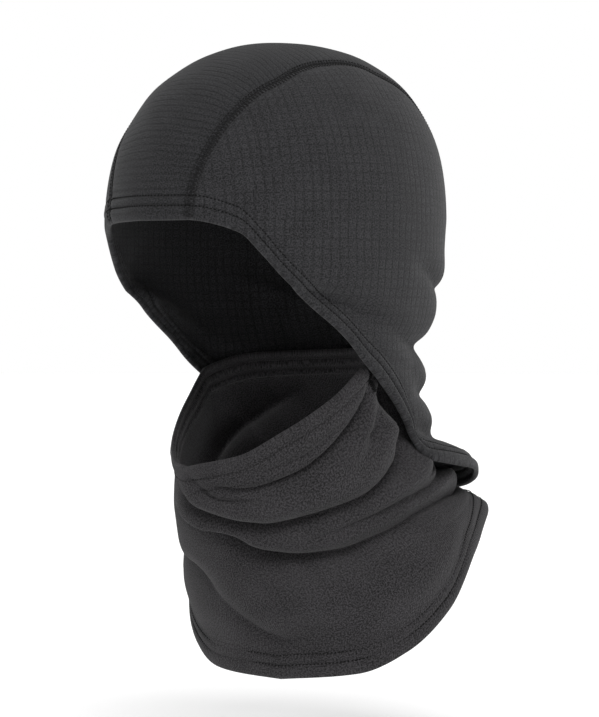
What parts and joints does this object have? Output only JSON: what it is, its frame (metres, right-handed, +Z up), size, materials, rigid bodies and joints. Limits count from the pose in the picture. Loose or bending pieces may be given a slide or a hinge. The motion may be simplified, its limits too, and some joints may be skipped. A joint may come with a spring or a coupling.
{
  "type": "balaclava",
  "caption": "Hinged balaclava: a three-panel hood sewn at the nape to a neck gaiter with a flared bib, whose front lifts over the nose.",
  "frame": {"origin": "centre of the head that fills the hood, level with the ears, midway between them", "axes": "+Z up; the face opening looks along -Y; +X is the wearer's left"},
  "size_m": [0.1754, 0.2459, 0.3526],
  "materials": {
    "grid_fleece": "charcoal grid fleece, matt, small raised squares",
    "smooth_fleece": "charcoal smooth-faced stretch fleece, matt",
    "thread": "black polyester thread, slightly shiny",
    "label_tape": "grey satin tape, blank"
  },
  "bodies": {
    "gaiter": {"collar_back": "smooth_fleece", "neck_panel": "smooth_fleece", "bib_panel": "smooth_fleece", "bib_hem": "smooth_fleece", "bib_hem_thread_outer": "thread", "bib_hem_thread_inner": "thread", "gaiter_back_seam": "thread", "nape_join_seam": "thread", "bar_tack_left": "thread", "bar_tack_right": "thread"},
    "hood": {"crown_panel": "grid_fleece", "side_panel_left": "grid_fleece", "side_panel_right": "grid_fleece", "flatlock_seam_left": "thread", "flatlock_seam_right": "thread", "hood_hem": "grid_fleece", "hood_hem_thread_outer": "thread", "hood_hem_thread_inner": "thread", "care_label": "label_tape"},
    "mask": {"mask_hem": "smooth_fleece", "mask_panel": "smooth_fleece", "mask_hem_thread_outer": "thread", "mask_hem_thread_inner": "thread"}
  },
  "joints": [
    {"name": "hood_tip", "type": "hinge", "parent": "gaiter", "child": "hood", "pos_m": [0, 0.144, -0.1215], "axis": [-1, 0, 0], "range_deg": [0, 80]},
    {"name": "mask_lift", "type": "hinge", "parent": "gaiter", "child": "mask", "pos_m": [0, 0.008, -0.05], "axis": [-1, 0, 0], "range_deg": [0, 50]}
  ]
}
